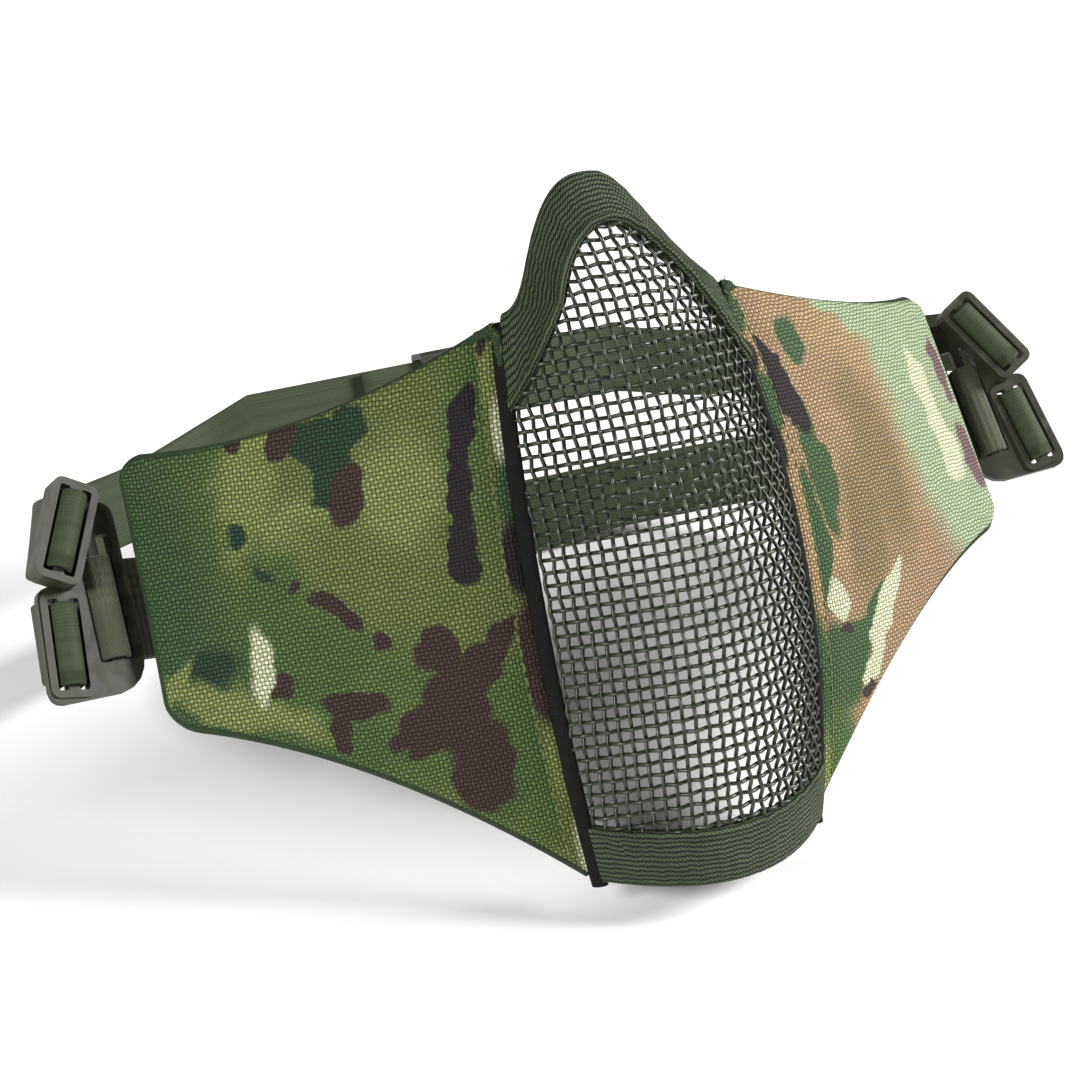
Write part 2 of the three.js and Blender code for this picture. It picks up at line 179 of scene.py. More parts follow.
def belongs(piece, body, slot, *nodes):
    """Rides a finished piece on its body and lets it stand for its CAD nodes."""
    if nodes:
        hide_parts(*nodes)
    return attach(piece, body)


class Builder:
    """Collects swept strips and shells into one mesh."""

    def __init__(self):
        self.points, self.faces, self.uv = [], [], []

    def loft(self, rings, uv_along=None, uv_around=None, caps=True):
        """Joins successive closed rings, an (n, m, 3) array, and caps the ends."""
        n, m = rings.shape[:2]
        start = len(self.points)
        self.points.extend(rings.reshape(-1, 3))
        along = np.zeros(n) if uv_along is None else uv_along
        around = np.zeros(m) if uv_around is None else uv_around
        self.uv.extend(np.stack(np.meshgrid(along, around, indexing="ij"), -1).reshape(-1, 2))
        self.faces.extend(grid_faces(n, m, start, closed=True))
        if caps:
            self.faces.append(tuple(range(start + m - 1, start - 1, -1)))
            self.faces.append(tuple(range(start + (n - 1) * m, start + n * m)))

    def piece(self, name, material):
        return make_piece(name, np.array(self.points), self.faces, material, self.uv)


def path_length(points):
    """Distance along a path at each of its points."""
    return np.concatenate([[0], np.cumsum(np.linalg.norm(np.diff(points, axis=0), axis=1))])


def sweep(path, across, section):
    """Rings of section (m, 2), across and outwards, along a path."""
    tangent = unit(np.gradient(path, axis=0))
    outward = unit(np.cross(tangent, across))
    return (path[:, None] + section[None, :, :1] * across[:, None] + section[None, :, 1:] * outward[:, None])


def tube(path, radius, sides, normal):
    """Rings of a round wire along a path, with normal as each ring's start."""
    tangent = unit(np.gradient(path, axis=0))
    side = unit(np.cross(tangent, normal))
    up = np.cross(side, tangent)
    angle = np.arange(sides) * 2 * math.pi / sides
    ring = np.cos(angle)[None, :, None] * side[:, None] + np.sin(angle)[None, :, None] * up[:, None]
    return path[:, None] + radius * ring


def stadium(width, thickness, corners=4, middle=5):
    """A flat band's section with round edges, as (across, outwards) points."""
    r = thickness / 2
    half = width / 2 - r
    turn = np.linspace(-math.pi / 2, math.pi / 2, corners + 1)
    right = np.stack([half + r * np.cos(turn), r * np.sin(turn)], 1)
    top = np.stack([np.linspace(half, -half, middle + 2)[1:-1], np.full(middle, r)], 1)
    return np.concatenate([right, top, -right, -top])


def smooth_path(controls, step):
    """A centripetal Catmull-Rom curve through the controls, evenly spaced."""
    controls = np.asarray(controls, float)
    ends = [2 * controls[0] - controls[1], *controls, 2 * controls[-1] - controls[-2]]
    dense = [controls[:1]]
    for p0, p1, p2, p3 in zip(ends, ends[1:], ends[2:], ends[3:]):
        t0, t1 = 0, np.linalg.norm(p1 - p0) ** 0.5
        t2 = t1 + np.linalg.norm(p2 - p1) ** 0.5
        t3 = t2 + np.linalg.norm(p3 - p2) ** 0.5
        t = np.linspace(t1, t2, 17)[1:, None]
        a1 = lerp(p0, p1, (t - t0) / (t1 - t0))
        a2 = lerp(p1, p2, (t - t1) / (t2 - t1))
        a3 = lerp(p2, p3, (t - t2) / (t3 - t2))
        b1 = lerp(a1, a2, (t - t0) / (t2 - t0))
        b2 = lerp(a2, a3, (t - t1) / (t3 - t1))
        dense.append(lerp(b1, b2, (t - t1) / (t2 - t1)))
    dense = np.concatenate(dense)
    return resample(dense, step)


def resample(path, step):
    """The same path with evenly spaced points."""
    length = path_length(path)
    count = max(int(round(length[-1] / step)), 2)
    at = np.linspace(0, length[-1], count + 1)
    return np.stack([np.interp(at, length, path[:, k]) for k in range(3)], 1)


# ---- The mask's surfaces ----------------------------------------------------


def seam_share(z):
    return (SEAM_TOP_Z - z) / (SEAM_TOP_Z - SEAM_BOTTOM_Z)


def half_width(z):
    v = seam_share(z)
    narrowing = np.where(v < 0, NOSE_NARROWING, 1.0)
    return lerp(SEAM_TOP_X, SEAM_BOTTOM_X, v) + SEAM_BULGE_X * hump(v) * narrowing


def seam_y(z):
    below = -SEAM_BULGE_Y * hump(np.clip(seam_share(z), 0, 1))
    return np.where(z > SEAM_TOP_Z, NOSE_SIDE_SLOPE * (z - SEAM_TOP_Z), below)


def centre_y(z):
    towards_nose = DOME_NOSE_BACK * ((z - DOME_Z) / DOME_NOSE_HEIGHT) ** 2
    towards_chin = DOME_CHIN_BACK * ((z - DOME_Z) / DOME_CHIN_HEIGHT) ** 2
    return np.where(z > DOME_Z, towards_nose, towards_chin) - DOME_FRONT


def front_point(s, z):
    """The mesh surface at s, -1 to 1 from seam to seam, and height z."""
    s, z = np.broadcast_arrays(np.asarray(s, float), np.asarray(z, float))
    lean = NOSE_LEAN * np.maximum(z - SEAM_TOP_Z, 0) / NOSE_RISE
    return np.stack([s * half_width(z) - lean, lerp(centre_y(z), seam_y(z), s * s), z], -1)


def front_normal(s, z):
    """Unit normal of the mesh surface, pointing forward."""
    return -normals_of(lambda a, b: front_point(a, -b), s, -np.asarray(z, float))


def bell(s):
    return 0.5 + 0.5 * np.cos(math.pi * np.abs(s) ** 1.3)


def nose_outer(s):
    return SEAM_TOP_Z + NOSE_RISE * bell(s)


def nose_inner(s):
    return NOSE_INNER_Z + NOSE_INNER_RISE * lerp(1 - np.abs(s) ** 1.75, bell(s), 0.33)


def chin_inner(s):
    return CHIN_INNER_Z - CHIN_INNER_DROP * (1 - s * s)


def chin_outer(s):
    return SEAM_BOTTOM_Z - CHIN_DROP * (1 - s * s)


def cheek_point(u, v, side, top_sag, bottom_rise):
    """A cheek's outer face: u from the seam to the outer end, v from top to bottom."""
    u, v = np.broadcast_arrays(np.asarray(u, float), np.asarray(v, float))
    seam = front_point(1.0, lerp(SEAM_TOP_Z, SEAM_BOTTOM_Z, v))
    outer = lerp(CHEEK_OUTER_TOP, CHEEK_OUTER_BOTTOM, v[..., None])
    point = lerp(seam, outer, u[..., None]) + CHEEK_OUTWARD * CHEEK_BULGE * hump(u)[..., None]
    point[..., 2] += hump(u) * lerp(-top_sag, bottom_rise, v)
    return mirror(point, side)


# The two panels hang a little differently, as sewn ones do.
CHEEKS = {
    "left": {"side": -1, "top_sag": 6.5, "bottom_rise": 8.5},
    "right": {"side": 1, "top_sag": 4.0, "bottom_rise": 12.0},
}


def cheek_surface(name):
    """cheek_point for one panel, and its outward normal."""
    shape = CHEEKS[name]

    def surface(u, v):
        return cheek_point(u, v, shape["side"], shape["top_sag"], shape["bottom_rise"])

    def normal(u, v):
        return -shape["side"] * normals_of(surface, u, v)

    return surface, normal


# ---- Woven wire mesh --------------------------------------------------------


def arc_table(z):
    """Distance across the front from its middle at height z, for s from 0 to 1."""
    s = np.linspace(0, 1, 61)
    z = np.atleast_1d(z)
    points = front_point(s[None, :], z[:, None])
    steps = np.linalg.norm(np.diff(points, axis=1), axis=2)
    return s, np.concatenate([np.zeros((len(z), 1)), np.cumsum(steps, axis=1)], axis=1)


def across_share(arc, z):
    """The s that lies at a signed distance arc across the front, at each z."""
    s, table = arc_table(z)
    share = np.array([np.interp(abs(a), row, s) for a, row in zip(np.broadcast_to(arc, len(table)), table)])
    return np.sign(arc) * share


def wire_mesh(material):
    """Crimped wires both ways, woven over and under at every crossing."""
    tuck = 1.8
    reach = 1 - 1.2 / half_width(DOME_Z)
    heights = np.linspace(chin_inner(0) - tuck, nose_inner(0) + tuck, 400)
    profile = path_length(front_point(0.0, heights))
    row_count = int(profile[-1] / WIRE_PITCH)
    column_reach = arc_table(DOME_Z)[1][0, -1] * reach
    column_count = 2 * int(column_reach / WIRE_PITCH) + 1
    builder = Builder()

    def add_wire(s, z, wave):
        normal = front_normal(s, z)
        path = front_point(s, z) + normal * (WIRE_CRIMP * wave)[:, None]
        builder.loft(tube(path, WIRE_RADIUS, 7, normal), path_length(path), np.arange(7.0))

    for k in range(column_count):
        arc = (k - (column_count - 1) / 2) * WIRE_PITCH
        row = np.arange(0, row_count * WIRE_STEPS + 1) / WIRE_STEPS
        z = np.interp(row * WIRE_PITCH, profile, heights)
        s = across_share(arc, z)
        inside = (np.abs(s) < reach) & (z > chin_inner(s) - tuck) & (z < nose_inner(s) + tuck)
        wave = np.cos(math.pi * (row + k))
        if inside.sum() > 2 * WIRE_STEPS:
            add_wire(s[inside], z[inside], wave[inside])
    for j in range(row_count + 1):
        z = float(np.interp(j * WIRE_PITCH, profile, heights))
        column = np.arange(0, (column_count - 1) * WIRE_STEPS + 1) / WIRE_STEPS
        arc = (column - (column_count - 1) / 2) * WIRE_PITCH
        s, table = arc_table(z)
        share = np.sign(arc) * np.interp(np.abs(arc), table[0], s)
        inside = (np.abs(arc) < table[0, -1] * reach) & (z > chin_inner(share) - tuck)
        inside &= z < nose_inner(share) + tuck
        wave = -np.cos(math.pi * (column + j))
        for part in runs(inside):
            if len(part) > 2 * WIRE_STEPS:
                add_wire(share[part], np.full(len(part), z), wave[part])
    piece = builder.piece("wire_mesh", material)
    return belongs(piece, "front", "wire", "mesh_panel")


def runs(inside):
    """The stretches of consecutive indices where inside is true."""
    index = np.flatnonzero(inside)
    return np.split(index, np.flatnonzero(np.diff(index) > 1) + 1) if len(index) else []


# ---- Nose and chin bindings, side tapes -------------------------------------


def tape_section(width_steps):
    """A folded tape's loop: (share from outer to inner edge, offset, bead)."""
    share = np.linspace(0, 1, width_steps)
    front = np.stack([share, np.ones(width_steps)], 1)
    back = np.stack([share[::-1], -np.ones(width_steps)], 1)
    return np.concatenate([front, back])


def edge_binding(name, outer, inner, reach, bead, material, node):
    """A ribbed tape folded over an edge of the mesh, with a rolled inner hem."""
    stations, across = 160, 26
    s = np.linspace(-reach, reach, stations)
    loop = tape_section(across)
    share, level = loop[:, 0], loop[:, 1]
    rounding = np.sqrt(np.clip(1 - (1 - np.clip(share / 0.1, 0, 1)) ** 2, 0, 1))
    crown = 0.55 + 0.45 * np.sqrt(hump(np.clip(share, 0.02, 0.98)))
    hem = np.exp(-((share - 0.93) / 0.055) ** 2) * (level > 0)
    z = lerp(outer(s)[:, None], inner(s)[:, None], share[None, :])
    pucker = 0.1 * np.sin(s * 55)[:, None] * (1 - share)[None, :] * (1 - s * s)[:, None]
    offset = level * rounding * crown * (BINDING_THICKNESS / 2 + pucker) + bead * hem
    s_grid = np.repeat(s[:, None], len(share), 1)
    rings = front_point(s_grid, z) + front_normal(s_grid, z) * offset[..., None]
    middle = path_length(rings[:, across // 2])
    girth = path_length(np.concatenate([rings[stations // 2], rings[stations // 2][:1]]))[:-1]
    builder = Builder()
    builder.loft(rings, middle, girth)
    piece = builder.piece(name, material)
    return belongs(piece, "front", "elastic_binding", node)


def side_tape(name, side, material):
    """The black tape that folds over the mesh's side edge, under the cheek."""
    z = np.linspace(SEAM_TOP_Z - 2, SEAM_BOTTOM_Z - 1, 90)
    turn = np.linspace(0, 2 * math.pi, 17)[:-1]
    half_tape, half_depth = 1.4, 1.1
    across = half_tape * np.cos(turn) + 0.2
    level = half_depth * np.sin(turn) * (1 + 0.12 * np.sin(z * 1.7))[:, None]
    s = 1 + across[None, :] / half_width(z)[:, None]
    z_grid = np.repeat(z[:, None], len(turn), 1)
    rings = front_point(s, z_grid) + front_normal(s, z_grid) * level[..., None]
    rings = mirror(rings, side)
    builder = Builder()
    builder.loft(rings if side < 0 else rings[:, ::-1], path_length(rings[:, 0]), np.arange(16.0) * 0.8)
    piece = builder.piece(name + "_seam_tape", material)
    return belongs(piece, "front", "black_tape", name + "_side_tape")


# ---- Cheek panels -----------------------------------------------------------

SLAB_DEPTH = COVER_THICKNESS + GAP + PAD_THICKNESS
EDGE_ROUNDING = 3.2           # how far in the panel reaches its full thickness
CORNER_RADIUS = 7.0           # of the two outer corners
STITCH_GROOVE = 0.8
COVER_STATIONS, COVER_ROWS = 44, 52


def panel_columns(count, first):
    """u of each column, closing in on the outer end so that its corners turn."""
    corner = 1 - CORNER_RADIUS / CHEEK_LENGTH
    straight = np.linspace(first, corner, count - 7, endpoint=False)
    turn = np.sin(np.linspace(0, math.pi / 2, 8)[:-1])
    return np.concatenate([straight, corner + (0.997 - corner) * turn, [0.997]])[:count]


def panel_limits(u):
    """v of the top and bottom edges at u, drawn in round the outer corners."""
    height = lerp(SEAM_TOP_Z - SEAM_BOTTOM_Z, CHEEK_OUTER_TOP[2] - CHEEK_OUTER_BOTTOM[2], u)
    into = np.clip((u - 1) * CHEEK_LENGTH / CORNER_RADIUS + 1, 0, 1)
    drop = CORNER_RADIUS * (1 - np.sqrt(1 - into ** 2)) / height
    return drop, 1 - drop


def panel_shell(name, u, rows, front, depth, rounding):
    """A closed padded slab: rings of points, one per u, and the fabric coordinates."""
    surface, normal = cheek_surface(name)
    top, bottom = panel_limits(u)
    share = (1 - np.cos(np.linspace(0, math.pi, rows))) / 2
    share = lerp(share, np.linspace(0, 1, rows), 0.6)
    v = lerp(top[:, None], bottom[:, None], share[None, :])
    v = np.concatenate([v, v[:, ::-1]], 1)
    level = np.concatenate([np.ones(rows), -np.ones(rows)])[None, :]
    u_grid = np.repeat(u[:, None], 2 * rows, 1)
    height = lerp(SEAM_TOP_Z - SEAM_BOTTOM_Z, CHEEK_OUTER_TOP[2] - CHEEK_OUTER_BOTTOM[2], u_grid)
    from_ends = np.minimum(u_grid - u[0], u[-1] - u_grid) * CHEEK_LENGTH
    from_sides = np.minimum(v - top[:, None], bottom[:, None] - v) * height
    inset = np.clip(np.minimum(from_ends, from_sides) / rounding, 0, 1)
    fullness = np.sqrt(np.clip(1 - (1 - inset) ** 2, 0.03, 1))
    groove = np.exp(-((u_grid * CHEEK_LENGTH - STITCH_INSET) / 0.9) ** 2) * (level > 0)
    offset = front - depth / 2 + level * fullness * depth / 2 - STITCH_GROOVE * groove * (front == 0)
    points = surface(u_grid, v) + normal(u_grid, v) * offset[..., None]
    fabric = np.stack([u_grid * CHEEK_LENGTH, points[..., 2]], -1)
    return points, fabric, (fullness, groove)


def shell_piece(name, points, fabric, side, material):
    """A mesh from a panel's rings, with its faces turned outward on either side."""
    if side < 0:
        points, fabric = points[:, ::-1], fabric[:, ::-1]
    n, m = points.shape[:2]
    faces = grid_faces(n, m, closed=True)
    half = m // 2
    for start, flip in ((0, False), ((n - 1) * m, True)):
        for i in range(half - 1):
            quad = (start + i, start + m - 1 - i, start + m - 2 - i, start + i + 1)
            faces.append(quad[::-1] if flip else quad)
    return make_piece(name, points.reshape(-1, 3), faces, material, fabric.reshape(-1, 2))


def relax_as_cloth(piece, sewn, pressure, cap):
    """Lets the cloth settle under light stuffing, held at its seams, then keeps that shape."""
    group = piece.vertex_groups.new(name="sewn")
    group.add(np.flatnonzero(sewn).tolist(), 1.0, "REPLACE")
    modifier = piece.modifiers.new("stuffing", "CLOTH")
    settings = modifier.settings
    settings.quality = 6
    settings.mass = 0.25
    settings.tension_stiffness = 12
    settings.compression_stiffness = 12
    settings.bending_stiffness = 1.5
    settings.use_pressure = True
    settings.uniform_pressure_force = pressure
    settings.vertex_group_mass = "sewn"
    settings.effector_weights.gravity = 0
    scene = bpy.context.scene
    for step in range(1, 21):
        scene.frame_set(step)
    settled = piece.evaluated_get(bpy.context.evaluated_depsgraph_get()).to_mesh()
    count = len(piece.data.vertices)
    before, after = np.empty(count * 3), np.empty(count * 3)
    piece.data.vertices.foreach_get("co", before)
    settled.vertices.foreach_get("co", after)
    move = (after - before).reshape(-1, 3)
    length = np.linalg.norm(move, axis=1, keepdims=True)
    move *= np.minimum(1, cap / np.maximum(length, 1e-9))
    piece.data.vertices.foreach_set("co", (before.reshape(-1, 3) + move).ravel())
    piece.modifiers.remove(modifier)
    scene.frame_set(1)


def round_off(piece, levels=1):
    """One subdivision, kept in the mesh."""
    modifier = piece.modifiers.new("smooth", "SUBSURF")
    modifier.levels = levels
    modifier.render_levels = levels
    graph = bpy.context.evaluated_depsgraph_get()
    made = bpy.data.meshes.new_from_object(piece.evaluated_get(graph))
    piece.modifiers.clear()
    piece.data = made


def fold_with(piece, name, slot, *nodes):
    """Hides the CAD nodes that the piece stands for and bakes its placement into its mesh."""
    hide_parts(*nodes)
    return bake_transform(piece)


def cheek_cover(name, material):
    """The printed cloth over its pad, grooved along the topstitch."""
    side = CHEEKS[name]["side"]
    u = panel_columns(COVER_STATIONS, 0.004)
    points, fabric, (fullness, groove) = panel_shell(name, u, COVER_ROWS, 0.0, SLAB_DEPTH, EDGE_ROUNDING)
    sewn = (fullness < 0.97) | (groove > 0.2) | (fabric[..., 0] < STITCH_INSET)
    sewn[:, COVER_ROWS:] = True
    if side < 0:
        sewn = sewn[:, ::-1]
    piece = shell_piece(name + "_cheek_fabric", points, fabric, side, material)
    relax_as_cloth(piece, sewn.ravel(), pressure=5, cap=0.0016)
    round_off(piece)
    return fold_with(piece, name, "camo_cloth", name + "_cheek_cover", name + "_cheek_pad")


def cheek_topstitch(name, material):
    """Raised running stitches along a cheek's inner edge."""
    surface, normal = cheek_surface(name)
    u = STITCH_INSET / CHEEK_LENGTH
    v = np.linspace(0.01, 0.99, 600)
    line = surface(u, v) + normal(u, v) * -STITCH_GROOVE * 0.55
    along = path_length(line)
    builder = Builder()
    turn = np.arange(6) * math.pi / 3
    starts = np.arange(0, along[-1] - STITCH_LENGTH, STITCH_LENGTH + STITCH_GAP)
    for start in starts:
        share = np.linspace(0, 1, 7)
        at = start + share * STITCH_LENGTH
        middle = np.stack([np.interp(at, along, line[:, k]) for k in range(3)], 1)
        out = unit(np.stack([np.interp(at, along, normal(u, v)[:, k]) for k in range(3)], 1))
        middle = middle + out * (0.34 * np.sqrt(hump(share)) - 0.14)[:, None]
        across = np.cross(unit(np.gradient(middle, axis=0)), out)
        radius = 0.26 * np.sqrt(np.clip(hump(share), 0.15, 1))
        ring = np.cos(turn)[None, :, None] * across[:, None] + np.sin(turn)[None, :, None] * out[:, None]
        builder.loft(middle[:, None] + radius[:, None, None] * ring, at, turn)
    piece = builder.piece(name + "_topstitch", material)
    return fold_with(piece, name, "camo_cloth")


def cheek_lining(name, material):
    """The thin dark cloth on the face side of the panel."""
    side = CHEEKS[name]["side"]
    u = panel_columns(34, 0.012)
    front = -(SLAB_DEPTH + GAP)
    points, fabric, _ = panel_shell(name, u, 40, front, LINING_THICKNESS, 1.2)
    piece = shell_piece(name + "_cheek_backing", points, fabric, side, material)
    return fold_with(piece, name, "lining", name + "_cheek_lining")


def cheek_binding(name, material):
    """The dark tape rolled over a panel's top, outer and bottom edges."""
    surface, normal = cheek_surface(name)
    u = panel_columns(60, 0.02)
    top, bottom = panel_limits(u)
    outer_v = np.linspace(top[-1], bottom[-1], 40)[1:-1]
    u_path = np.concatenate([u, np.full(len(outer_v), u[-1]), u[::-1]])
    v_path = np.concatenate([top, outer_v, bottom[::-1]])
    edge = resample(surface(u_path, v_path) + normal(u_path, v_path) * -(SLAB_DEPTH - 0.6), 1.2)
    u_edge = np.interp(path_length(edge), path_length(surface(u_path, v_path)), u_path)
    v_edge = np.interp(path_length(edge), path_length(surface(u_path, v_path)), v_path)
    across = normal(u_edge, v_edge)
    turn = np.linspace(0, 2 * math.pi, 15)[:-1]
    section = np.stack([1.9 * np.cos(turn), 1.4 * np.sin(turn)], 1)
    rings = sweep(edge, across, section)
    builder = Builder()
    if CHEEKS[name]["side"] < 0:
        rings = rings[:, ::-1]
    builder.loft(rings, path_length(edge), np.arange(14.0) * 0.8)
    piece = builder.piece(name + "_cheek_edging", material)
    return fold_with(piece, name, "edge_binding", name + "_cheek_binding")


def corner_roll(name, material, frayed):
    """The tape's end rolled over a panel's top inner corner, with frayed threads."""
    surface, normal = cheek_surface(name)

    def at(u, v, out):
        u, v = np.array([u]), np.array([v])
        return (surface(u, v) + normal(u, v) * out)[0]

    path = smooth_path([at(0.004, 0.09, 0.3), at(0.004, 0.055, 1.0), at(0.014, 0.028, 1.2),
                        at(0.04, 0.018, 0.2), at(0.09, 0.012, -1.6)], 0.6)
    ahead = np.repeat(normal(np.array([0.02]), np.array([0.02])), len(path), 0)
    taper = 1.5 * np.sqrt(np.clip(hump(np.linspace(0.03, 0.97, len(path))), 0.1, 1))
    lumps = 1 + 0.14 * np.sin(path_length(path) * 2.1)
    builder = Builder()
    radius = (taper * lumps)[:, None, None]
    builder.loft(tube(path, radius, 12, ahead), path_length(path), np.arange(12.0) * 0.8)
    fold_with(builder.piece(name + "_corner_roll", material), name, "edge_binding")
    spread = np.random.default_rng(11)
    threads = Builder()
    for _ in range(9):
        start = path[spread.integers(3, 16)]
        reach = spread.normal(0, 1.6, 3) + (0, -1.6, 0.8)
        bend = spread.normal(0, 0.7, 3)
        strand = smooth_path([start, start + reach * 0.5 + bend, start + reach], 0.4)
        face = np.repeat(ahead[:1], len(strand), 0)
        threads.loft(tube(strand, 0.11, 5, face), path_length(strand), np.arange(5.0) * 0.2)
    fold_with(threads.piece(name + "_frayed_threads", frayed), name, "edge_binding")


# ---- Buckles, anchor webbing and straps -------------------------------------


def buckle_axes():
    """The buckle's own axes: outward, up along the main bar, and to the front."""
    up = -unit(BAR_DOWN)
    forward = unit(np.cross([0.974, -0.2, 0.1], up))
    return np.stack([np.cross(up, forward), up, forward])


def from_buckle(points):
    return np.asarray(points, float) @ buckle_axes() + BUCKLE_ORIGIN


def anchor_webbing(name, side, material):
    """Ribbed webbing from the panel, round the buckle's main bar and back."""
    lift = ANCHOR_LEVEL
    route = [
        (-18.5, -3.7), (-13.6, -4.0), (-9, -4.1), (-4, -4.1), (-2.5, -3.4), (-2.1, -2),
        (-2.1, 1.2), (-2.8, 2.4), (-4, 2.9), (-6, 2.9), (-7.2, 2.4), (-7.9, 1.2),
        (-7.9, -1.2), (-8.6, -2.1), (-10, -2.4), (-13.6, -2.5),
        (-18.5, -2.9),
    ]
    path = smooth_path(from_buckle([(x, lift, z) for x, z in route]), 0.25)
    across = np.repeat(-unit(buckle_axes()[1])[None], len(path), 0)
    along = path_length(path)
    rings = sweep(path, across, stadium(ANCHOR_WIDTH, ANCHOR_THICKNESS, middle=9))
    centre = path[:, None]
    rib = 1 + 0.24 * np.abs(np.sin(along * math.pi / 1.55))[:, None, None]
    outward = unit(np.cross(unit(np.gradient(path, axis=0)), across))[:, None]
    height = ((rings - centre) * outward).sum(-1, keepdims=True)
    rings = mirror(rings + outward * height * (rib - 1), side)
    builder = Builder()
    width = path_length(rings[0])
    builder.loft(rings if side > 0 else rings[:, ::-1], along, width)
    piece = builder.piece(name + "_anchor_tape", material)
    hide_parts(name + "_anchor_webbing")
    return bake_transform(piece)


LADDER_TURN = [
    (-2.9, -6.4), (-2.6, -4), (-2.55, 2), (-1.9, 3.6),
    (-0.7, 4.3), (0.7, 4.3), (1.9, 3.6), (2.55, 2),
]


def strap_route(window, run, rear):
    """A strap's middle line and its width's direction, drawn for the +X side."""
    c, s = math.cos(window["turn"]), math.sin(window["turn"])
    depth = 0.0 if window["proud"] > 0 else -1.2

    def from_window(x, z):
        return from_buckle([x * c + window["x"], x * s + window["y"], z + depth + window["proud"]])

    turn = smooth_path([from_window(x, z) for x, z in LADDER_TURN] + [from_window(2.6, -3.5)], 0.5)
    across = from_buckle([s, -c, 0]) - BUCKLE_ORIGIN
    knee = (run[-1][0] - 14, run[-1][1], rear[0][2])
    curve = smooth_path([turn[-1], *run, knee], 1.5)
    share = smooth(path_length(curve) / path_length(curve)[-1] / 0.6)[:, None]
    curve_across = unit(lerp(across, np.array([0, 0, -1.0]), share))
    tail = resample(np.array([knee, *rear], float), 3.0)
    path = np.concatenate([turn, curve[1:], tail[1:]])
    widths = np.concatenate([np.repeat(unit(across)[None], len(turn), 0), curve_across[1:],
                             np.repeat([[0, 0, -1.0]], len(tail) - 1, 0)])
    return path, widths


def strap(name, side, window, run, rear, material):
    path, across = strap_route(window, run, rear)
    rings = mirror(sweep(path, across, stadium(STRAP_WIDTH, STRAP_THICKNESS, middle=7)), side)
    builder = Builder()
    builder.loft(rings if side > 0 else rings[:, ::-1], path_length(path), path_length(rings[0]))
    piece = builder.piece(name.replace("_strap", "_band"), material)
    body = ("right" if side > 0 else "left") + "_harness"
    return belongs(piece, body, "strap", name)


def upper_run(y, sag):
    return [(131.5, 62, 44), (129, 80, 45 - sag / 2), (121, 99, 46 - sag), (107, 118, 48 - sag),
            (86, 135, 51 - sag), (62, y, 57 - 5 * sag / 6)]


def lower_run(y):
    return [(135.5, 54, 18), (134, 74, 17), (127, 97, 16), (112, 120, 16), (88, 140, 16), (62, y, 16)]


def straps(material):
    front, behind = STRAP_BACK_Y - LAP_OFFSET, STRAP_BACK_Y + LAP_OFFSET
    low_front, low_behind = LOWER_BACK_Y - LAP_OFFSET, LOWER_BACK_Y + LAP_OFFSET
    strap("upper_strap_right", 1, UPPER_WINDOW, upper_run(front, 0), [(-14, front, 57)], material)
    upper_rear = [(45, behind, 57), (-40, behind, 57)]
    strap("upper_strap_left", -1, UPPER_WINDOW, upper_run(behind, 6), upper_rear, material)
    strap("lower_strap_right", 1, LOWER_WINDOW, lower_run(low_front), [(-14, low_front, 16)], material)
    strap("lower_strap_left", -1, LOWER_WINDOW, lower_run(low_behind), [(-40, low_behind, 16)], material)


def moulded(node, material, edge):
    """A CAD plastic part with its edges rounded as a mould leaves them."""
    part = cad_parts[node]
    part.data.materials.clear()
    part.data.materials.append(material)
    bevel = part.modifiers.new("mould_radius", "BEVEL")
    bevel.width = edge
    bevel.segments = 2
    bevel.limit_method = "ANGLE"
    bevel.angle_limit = math.radians(35)
    bevel.harden_normals = False


# ---- Materials --------------------------------------------------------------


